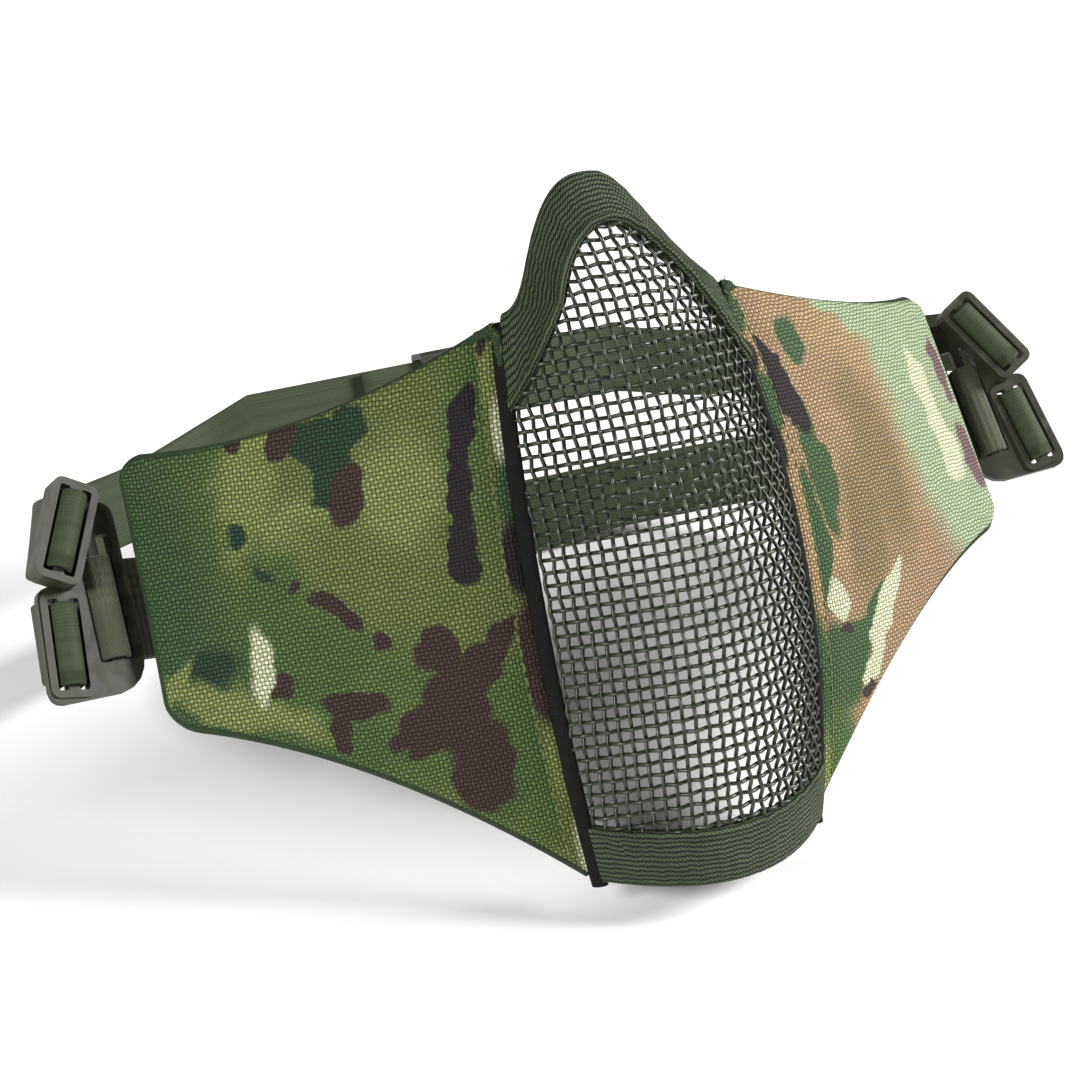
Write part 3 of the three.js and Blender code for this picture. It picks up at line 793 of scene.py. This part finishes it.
class Shader:
    """A node material under construction."""

    def __init__(self, name, roughness, **sockets):
        self.material = bpy.data.materials.new(name)
        self.material.use_nodes = True
        self.tree = self.material.node_tree
        self.surface = self.tree.nodes["Principled BSDF"]
        self.surface.inputs["Roughness"].default_value = roughness
        for socket, value in sockets.items():
            self.surface.inputs[socket.replace("_", " ")].default_value = value

    def feed(self, socket, value):
        if isinstance(value, bpy.types.NodeSocket):
            self.tree.links.new(value, socket)
        elif value is not None:
            socket.default_value = value

    def add(self, kind, *inputs, **settings):
        node = self.tree.nodes.new("ShaderNode" + kind)
        for key, value in settings.items():
            setattr(node, key, value)
        for socket, value in zip(node.inputs, inputs):
            self.feed(socket, value)
        return node

    def fabric(self):
        """The fabric coordinates, in millimetres."""
        return self.add("UVMap", uv_map="Fabric").outputs["UV"]

    def place(self):
        """The piece's own coordinates, in millimetres."""
        return self.vector("SCALE", self.add("TexCoord").outputs["Object"], scale=1000.0)

    def math(self, operation, a, b=None, c=None):
        return self.add("Math", a, b, c, operation=operation).outputs[0]

    def vector(self, operation, a, b=None, scale=None):
        node = self.add("VectorMath", a, b, operation=operation)
        if scale is not None:
            self.feed(node.inputs["Scale"], scale)
        return node.outputs["Value"] if operation == "LENGTH" else node.outputs["Vector"]

    def mix(self, factor, a, b, blend_type="MIX"):
        node = self.add("Mix", data_type="RGBA", blend_type=blend_type)
        for index, value in ((0, factor), (6, a), (7, b)):
            self.feed(node.inputs[index], value)
        return node.outputs[2]

    def noise(self, vector, size, detail=2.0):
        """Noise from 0 to 1 with features about size millimetres across."""
        node = self.add("TexNoise")
        self.feed(node.inputs["Vector"], vector)
        self.feed(node.inputs["Scale"], 1 / size)
        self.feed(node.inputs["Detail"], detail)
        return node

    def ramp(self, value, low, high, out_low=0.0, out_high=1.0):
        node = self.add("MapRange", value, low, high, out_low, out_high, interpolation_type="SMOOTHSTEP")
        return node.outputs["Result"]

    def ridge(self, value, pitch):
        """0 to 1 and back once per pitch."""
        return self.math("ABSOLUTE", self.math("SINE", self.math("MULTIPLY", value, math.pi / pitch)))

    def bump(self, height, depth, strength=1.0):
        """Bump of a depth given in millimetres."""
        node = self.add("Bump")
        self.feed(node.inputs["Strength"], strength)
        self.feed(node.inputs["Distance"], depth * 0.001)
        self.feed(node.inputs["Height"], height)
        self.feed(self.surface.inputs["Normal"], node.outputs["Normal"])

    def colour(self, value):
        self.feed(self.surface.inputs["Base Color"], value)

    def roughness(self, value):
        self.feed(self.surface.inputs["Roughness"], value)


def plain_weave(shader, fabric, pitch):
    """Over-and-under threads: (height, 1 where the thread along the rows is on top)."""
    node = shader.add("SeparateXYZ", fabric)
    x = shader.math("SINE", shader.math("MULTIPLY", node.outputs[0], math.pi / pitch))
    y = shader.math("SINE", shader.math("MULTIPLY", node.outputs[1], math.pi / pitch))
    over = shader.math("GREATER_THAN", shader.math("MULTIPLY", x, y), 0.0)
    x = shader.math("ABSOLUTE", x)
    y = shader.math("ABSOLUTE", y)
    along_rows = shader.math("MULTIPLY", shader.math("POWER", x, 0.5), shader.math("POWER", y, 1.1))
    along_columns = shader.math("MULTIPLY", shader.math("POWER", x, 1.1), shader.math("POWER", y, 0.5))
    difference = shader.math("SUBTRACT", along_rows, along_columns)
    return shader.math("MULTIPLY_ADD", difference, over, along_columns), over


GREEN = (66, 96, 54)
MID_GREEN = (82, 108, 54)
DARK_GREEN = (34, 66, 42)
LIME = (136, 148, 80)
OLIVE = (112, 124, 64)
BROWN = (66, 48, 40)
PURPLE = (36, 27, 31)
CREAM = (222, 226, 184)
TAN = (176, 148, 104)
SAGE = (166, 182, 144)
MAUVE = (122, 94, 96)
OLIVE_BROWN = (140, 120, 82)

# Printed patches in the panel's fabric coordinates: colour, softness of the
# edge, then (from the seam, height, half length, half width, turn in degrees).
LEFT_PRINT = [
    (GREEN, 0.55, [(96, 24, 24, 46, 0), (92, -8, 20, 12, 20)]),
    (LIME, 0.35, [(64, 44, 7, 17, 12), (60, 56, 8, 6, 10), (52, 34, 10, 9, 12)]),
    (OLIVE, 0.35, [(34, 24, 22, 12, 12), (26, 58, 10, 11, 0), (27, 36, 9, 16, 0)]),
    (LIME, 0.4, [(28, 40, 10, 12, 20), (74, -4, 20, 4, 25)]),
    (MID_GREEN, 0.4, [(53, 6, 15, 8, 8), (62, 22, 8, 12, 0)]),
    (MID_GREEN, 0.2, [(12, -27, 6, 17, 27), (48, -15, 6, 5, 10)]),
    (DARK_GREEN, 0.12, [(45, 53, 8.5, 6.5, 10), (36.5, 58, 5, 4.5, 10), (45, 44, 4, 5, 10)]),
    (DARK_GREEN, 0.35, [(81, 8, 6.5, 4.5, 20), (63, 28, 2.4, 2.2, 10), (69, 35.5, 2.4, 1.8, 10)]),
    (BROWN, 0.12, [(54.5, 56, 3.2, 5.5, 8), (66, 57, 3, 2.2, 10), (39.5, 41, 4.8, 9, 20)]),
    (BROWN, 0.12, [(57, 22, 2.2, 1.7, 10), (38, 7.6, 2.2, 2, 10), (47, 14.3, 7.2, 1.9, 42)]),
    (BROWN, 0.12, [(64, -1, 3.6, 2.8, 10), (49, -6.8, 7.8, 3.2, 10), (52.4, -13, 3, 4.8, 10)]),
    (BROWN, 0.12, [(24, -13, 7.5, 10, 20), (21, -27, 8, 12, 30), (33, -17, 8, 4.6, 5)]),
    (BROWN, 0.12, [(25.5, 1, 4.6, 6, 10), (17, -4, 8, 4.6, 147), (9, 2, 7, 3.6, 135)]),
    (PURPLE, 0.1, [(10.5, 52, 3.6, 9.5, 12), (13.6, 38, 3.7, 12, 8), (14.2, 21.5, 3.9, 8, 6)]),
    (CREAM, 0.3, [(68.5, 5.5, 3.4, 8.6, 5)]),
    (LIME, 0.4, [(89.5, 5, 2.2, 7.5, 33), (82, -4.4, 8, 2.4, 25)]),
]
LEFT_STRIP = [
    (LIME, 0.3, [(2.6, 62, 4, 9, 0), (1, -30, 4, 11, 0)]),
    (CREAM, 0.4, [(2.4, 48, 1.9, 8, 0), (1, -53, 2.4, 10, 0)]),
    (GREEN, 0.4, [(2, 34, 3.6, 8, 0)]),
    (PURPLE, 0.25, [(2.6, 19, 4, 9, 0)]),
    (BROWN, 0.2, [(2, -6, 5, 15, 0), (6, 70, 2.6, 4, 0)]),
]
RIGHT_PRINT = [
    (OLIVE_BROWN, 0.4, [(38, 22, 9, 26, 14), (26, 8, 8, 20, 0)]),
    (SAGE, 0.16, [(84, 30, 33, 52, 12), (42, 66, 14, 6, -20), (66, 58, 24, 10, 0)]),
    (CREAM, 0.14, [(73, 29, 4.5, 17, 14), (76, 17, 6, 7, 14)]),
    (MAUVE, 0.14, [(87.5, 39, 3.4, 8.5, 12), (88, 15, 4, 10.5, 12)]),
    (GREEN, 0.14, [(18.5, 56.5, 5.3, 6.2, 0), (13, 25, 4.2, 19, 4), (6.6, 15, 2.8, 11, 0)]),
    (GREEN, 0.14, [(7.5, 2, 3.4, 14, 0), (27.5, -14, 5, 3.6, 35), (17, -20, 9, 4.6, 25)]),
    (GREEN, 0.2, [(9, -27, 13, 12, 0)]),
    (MID_GREEN, 0.4, [(4, -50, 14, 17, 0)]),
    (PURPLE, 0.12, [(9.5, 43, 3.8, 12, 18), (5.5, 54, 2.6, 4, 20)]),
    (CREAM, 0.14, [(11.5, -9.5, 3.9, 4.8, 0), (31.5, -14, 3.8, 13, -40), (24.5, -26, 3.2, 6, -35)]),
    (BROWN, 0.14, [(22.6, -33, 2.4, 2.4, 0), (13.5, -16.5, 3, 1.6, 0)]),
]
RIGHT_STRIP = [
    (GREEN, 0.2, [(2, 65, 4, 6, 0), (3, 42, 4, 8, 0), (2, -36, 5, 26, 0)]),
    (PURPLE, 0.2, [(1.5, 54, 3.5, 4.5, 0), (1, 31, 3, 7, 0)]),
    (LIME, 0.5, [(2, -52, 4, 12, 0)]),
]


def print_layers(shader, fabric, colour, layers):
    """Lays the printed patches over a colour, each layer over the one before."""
    for ink, softness, patches in layers:
        distance = None
        for across, height, half_length, half_width_, turn in patches:
            spot = shader.add("Mapping", vector_type="TEXTURE")
            shader.feed(spot.inputs["Vector"], fabric)
            spot.inputs["Location"].default_value = (across, height, 0)
            spot.inputs["Rotation"].default_value = (0, 0, math.radians(turn))
            spot.inputs["Scale"].default_value = (half_length, half_width_, 1)
            here = shader.vector("LENGTH", spot.outputs["Vector"])
            distance = here if distance is None else shader.math("SMOOTH_MIN", distance, here, 0.18)
        mask = shader.ramp(distance, 1 - softness, 1 + softness, 1.0, 0.0)
        colour = shader.mix(mask, colour, srgb(*ink))
    return colour


def camo_cloth(name, ground, second, layers, strip, shade):
    """Coarse plain-woven cloth with a printed blend of soft patches, painted lighter on the threads on top
    and darker in the weave's hollows.
    """
    shader = Shader(name, 0.8, Specular_IOR_Level=0.25)
    fabric = shader.fabric()
    wander = shader.noise(fabric, 14.0).outputs["Color"]
    shift = shader.vector("SCALE", shader.vector("SUBTRACT", wander, (0.5, 0.5, 0.5)), scale=10.0)
    edge = shader.noise(fabric, 4.0).outputs["Color"]
    fray = shader.vector("SCALE", shader.vector("SUBTRACT", edge, (0.5, 0.5, 0.5)), scale=4.0)
    flat = shader.vector("MULTIPLY", shader.vector("ADD", shift, fray), (1.0, 1.0, 0.0))
    printed_at = shader.vector("ADD", fabric, flat)
    drift = shader.ramp(shader.noise(fabric, 40.0).outputs["Fac"], 0.35, 0.65)
    colour = shader.mix(drift, srgb(*ground), srgb(*second))
    colour = print_layers(shader, printed_at, colour, layers)
    seam = shader.add("SeparateXYZ", fabric).outputs[0]
    strip_colour = print_layers(shader, fabric, srgb(*ground), strip)
    colour = shader.mix(shader.math("LESS_THAN", seam, STITCH_INSET), colour, strip_colour)
    drawn = shader.vector("SUBTRACT", shader.noise(fabric, 7.0).outputs["Color"], (0.5, 0.5, 0.5))
    threads_at = shader.vector("ADD", fabric, shader.vector("SCALE", drawn, scale=1.6))
    height, over = plain_weave(shader, threads_at, WEAVE_PITCH)
    # Painted highlight and shade: threads on top are painted lighter and the weave's hollows darker, by the
    # weave's height.
    bright = shader.math("MULTIPLY_ADD", over, 0.36 * shade, 0.5 * shade)
    bright = shader.math("MULTIPLY", bright, shader.ramp(height, 0.02, 0.7, 0.2, 1.24))
    thread = shader.noise(shader.vector("MULTIPLY", fabric, (0.25, 4.0, 1.0)), 2.0, 1.0).outputs["Fac"]
    bright = shader.math("MULTIPLY", bright, shader.ramp(thread, 0.2, 0.8, 0.86, 1.14))
    shader.colour(shader.vector("SCALE", colour, scale=bright))
    shader.roughness(shader.ramp(height, 0.0, 1.0, 0.85, 0.62))
    shader.bump(height, 0.22, 0.9)
    return shader.material


def painted_wire():
    """Dark olive paint, glossy on the crests and worn a little."""
    shader = Shader("painted_wire", 0.36, Metallic=0.15, Specular_IOR_Level=0.5)
    place = shader.place()
    wear = shader.ramp(shader.noise(place, 2.5, 4.0).outputs["Fac"], 0.45, 0.72)
    colour = shader.mix(wear, srgb(34, 42, 28), srgb(58, 66, 46))
    shader.colour(colour)
    shader.roughness(shader.ramp(shader.noise(place, 1.2).outputs["Fac"], 0.3, 0.7, 0.28, 0.46))
    shader.bump(shader.noise(place, 0.5, 3.0).outputs["Fac"], 0.05, 0.5)
    return shader.material


def ribbed_elastic():
    """Knitted elastic tape: wavering ribs along it, each a row of slanted stitches."""
    shader = Shader("ribbed_elastic", 0.85, Specular_IOR_Level=0.3)
    fabric = shader.fabric()
    waver = shader.noise(shader.vector("MULTIPLY", fabric, (1.0, 0.4, 1.0)), 3.0, 1.0).outputs["Fac"]
    node = shader.add("SeparateXYZ", fabric)
    along = node.outputs[0]
    across = shader.math("MULTIPLY_ADD", waver, 1.4, node.outputs[1])
    rib = shader.ridge(across, 1.25)
    stitch = shader.ridge(shader.math("MULTIPLY_ADD", across, 0.8, along), 0.95)
    height = shader.math("MULTIPLY", rib, shader.ramp(stitch, 0.0, 0.9, 0.35, 1.0))
    tone = shader.noise(fabric, 9.0, 3.0).outputs["Fac"]
    colour = shader.mix(tone, srgb(48, 60, 41), srgb(74, 86, 58))
    # Painted shade and highlight: the colour is scaled by rib height, nearly black in the grooves and
    # brighter on the crests.
    lit = shader.ramp(height, 0.12, 0.85, 0.05, 1.4)
    shader.colour(shader.vector("SCALE", colour, scale=lit))
    shader.bump(height, 0.6, 1.0)
    return shader.material


def woven_strap():
    """Close nylon strap: fine ribs along it and a slight unevenness of dye."""
    shader = Shader("woven_strap", 0.7, Specular_IOR_Level=0.3)
    fabric = shader.fabric()
    node = shader.add("SeparateXYZ", fabric)
    along, across = node.outputs[0], node.outputs[1]
    rib = shader.ridge(across, 0.9)
    pick = shader.ridge(along, 0.7)
    height = shader.math("MULTIPLY_ADD", pick, 0.4, rib)
    streak = shader.noise(shader.vector("MULTIPLY", fabric, (0.05, 1.6, 1.0)), 1.5, 3.0).outputs["Fac"]
    colour = shader.mix(streak, srgb(37, 45, 28), srgb(56, 65, 39))
    # Painted shade: the colour is scaled by rib height, darker in the grooves between ribs and lighter on
    # them.
    shader.colour(shader.vector("SCALE", colour, scale=shader.ramp(height, 0.1, 1.2, 0.82, 1.08)))
    shader.bump(height, 0.08, 0.7)
    return shader.material


def ribbed_webbing():
    """Sewn olive webbing, its ribs modelled, with fine threads over them."""
    shader = Shader("ribbed_webbing", 0.75, Sheen_Weight=0.2)
    fabric = shader.fabric()
    height, over = plain_weave(shader, fabric, 0.5)
    tone = shader.noise(fabric, 5.0, 3.0).outputs["Fac"]
    colour = shader.mix(tone, srgb(44, 48, 29), srgb(64, 69, 42))
    # Painted highlight and shade: threads on top are painted lighter and the weave's hollows darker.
    lit = shader.math("MULTIPLY_ADD", over, 0.25, shader.ramp(height, 0.0, 0.8, 0.55, 0.95))
    shader.colour(shader.vector("SCALE", colour, scale=lit))
    shader.bump(height, 0.12, 0.8)
    return shader.material


def dark_cloth(name, low, high, pitch):
    """Close dark cloth for linings, tapes and bindings."""
    shader = Shader(name, 0.9, Specular_IOR_Level=0.2)
    fabric = shader.fabric()
    height, over = plain_weave(shader, fabric, pitch)
    tone = shader.noise(fabric, 6.0, 3.0).outputs["Fac"]
    colour = shader.mix(tone, srgb(*low), srgb(*high))
    # Painted highlight and shade: threads on top are painted lighter and the weave's hollows darker.
    lit = shader.math("MULTIPLY_ADD", over, 0.3, shader.ramp(height, 0.0, 0.8, 0.5, 0.9))
    shader.colour(shader.vector("SCALE", colour, scale=lit))
    shader.bump(height, 0.15, 0.8)
    return shader.material


def topstitch_thread():
    """Twisted sewing thread."""
    shader = Shader("topstitch_thread", 0.6, Sheen_Weight=0.2)
    node = shader.add("SeparateXYZ", shader.fabric())
    round_thread = shader.math("MULTIPLY", node.outputs[1], 0.16)
    twist = shader.ridge(shader.math("ADD", node.outputs[0], round_thread), 0.4)
    # Painted shade and highlight: the thread is painted darker in the grooves of its twist and lighter on the
    # crests.
    shader.colour(shader.mix(twist, srgb(48, 54, 22), srgb(104, 110, 46)))
    shader.bump(twist, 0.08, 0.7)
    return shader.material


def moulded_plastic():
    """Olive-grey nylon with a fine moulded grain and rubbed patches."""
    shader = Shader("moulded_plastic", 0.5, Specular_IOR_Level=0.35)
    place = shader.place()
    grain = shader.noise(place, 0.35, 3.0).outputs["Fac"]
    rub = shader.ramp(shader.noise(place, 6.0, 4.0).outputs["Fac"], 0.4, 0.7)
    shader.colour(shader.mix(rub, srgb(39, 42, 31), srgb(55, 58, 43)))
    shader.roughness(shader.ramp(rub, 0.0, 1.0, 0.44, 0.6))
    shader.bump(grain, 0.05, 0.5)
    return shader.material


def studio_floor():
    shader = Shader("studio_floor", 0.9)
    tone = shader.noise(shader.place(), 400.0, 2.0).outputs["Fac"]
    shader.colour(shader.mix(tone, srgb(242, 242, 241), srgb(247, 247, 246)))
    return shader.material


# ---- Camera, light and floor ------------------------------------------------


def make_camera():
    a, e = CAMERA_AZIMUTH, CAMERA_ELEVATION
    back = Vector((math.sin(a) * math.cos(e), -math.cos(a) * math.cos(e), math.sin(e)))
    data = bpy.data.cameras.new("camera")
    data.lens = CAMERA_LENS
    data.sensor_width = 36
    camera = bpy.data.objects.new("camera", data)
    bpy.context.scene.collection.objects.link(camera)
    camera.location = CAMERA_AIM + back * CAMERA_DISTANCE
    camera.rotation_mode = "QUATERNION"
    camera.rotation_quaternion = (-back).to_track_quat("-Z", "Y")
    bpy.context.scene.camera = camera


def soft_light(name, location, size, power):
    data = bpy.data.lights.new(name, "AREA")
    data.shape = "DISK"
    data.size = size
    data.energy = power
    light = bpy.data.objects.new(name, data)
    bpy.context.scene.collection.objects.link(light)
    light.location = location
    light.rotation_mode = "QUATERNION"
    light.rotation_quaternion = (-Vector(location)).to_track_quat("-Z", "Y")


def make_studio():
    soft_light("left_bank", (-1.9, -0.77, 1.25), 0.9, 62)
    soft_light("right_bank", (1.9, -0.77, 1.25), 0.9, 106)
    world = bpy.data.worlds.new("studio")
    world.use_nodes = True
    world.node_tree.nodes["Background"].inputs["Color"].default_value = (1, 1, 1, 1)
    world.node_tree.nodes["Background"].inputs["Strength"].default_value = 0.12
    bpy.context.scene.world = world
    bpy.context.scene.view_settings.view_transform = "Standard"
    reach = 6.0
    corners = [(-reach, -reach, 0), (reach, -reach, 0), (reach, reach, 0), (-reach, reach, 0)]
    mesh = bpy.data.meshes.new("floor")
    mesh.from_pydata(corners, [], [(0, 1, 2, 3)])
    mesh.materials.append(studio_floor())
    floor = bpy.data.objects.new("floor", mesh)
    bpy.context.scene.collection.objects.link(floor)


# ---- Assembly ---------------------------------------------------------------


def build():
    make_camera()
    make_studio()
    black = dark_cloth("black_tape", (8, 9, 8), (20, 22, 18), 0.6)
    edging = dark_cloth("edge_tape", (34, 48, 30), (54, 70, 44), 0.7)
    lining = dark_cloth("lining_cloth", (24, 30, 20), (36, 42, 28), 0.7)
    elastic = ribbed_elastic()
    webbing = ribbed_webbing()
    thread = topstitch_thread()
    plastic = moulded_plastic()
    prints = {
        "left": camo_cloth("left_camo", OLIVE, MID_GREEN, LEFT_PRINT, LEFT_STRIP, 0.82),
        "right": camo_cloth("right_camo", TAN, (166, 136, 104), RIGHT_PRINT, RIGHT_STRIP, 0.96),
    }
    wire_mesh(painted_wire())
    edge_binding("nose_elastic", nose_outer, nose_inner, BINDING_REACH, 1.4, elastic, "nose_binding")
    edge_binding("chin_elastic", chin_outer, chin_inner, BINDING_REACH, 0.6, elastic, "chin_binding")
    for name, shape in CHEEKS.items():
        side_tape(name, shape["side"], black)
        cheek_cover(name, prints[name])
        cheek_topstitch(name, thread)
        cheek_lining(name, lining)
        cheek_binding(name, edging)
        corner_roll(name, edging, thread)
        anchor_webbing(name, shape["side"], webbing)
        moulded(name + "_buckle", plastic, 0.00045)
    straps(woven_strap())
    moulded("upper_slider", plastic, 0.0005)
    moulded("lower_slider", plastic, 0.0005)


build()
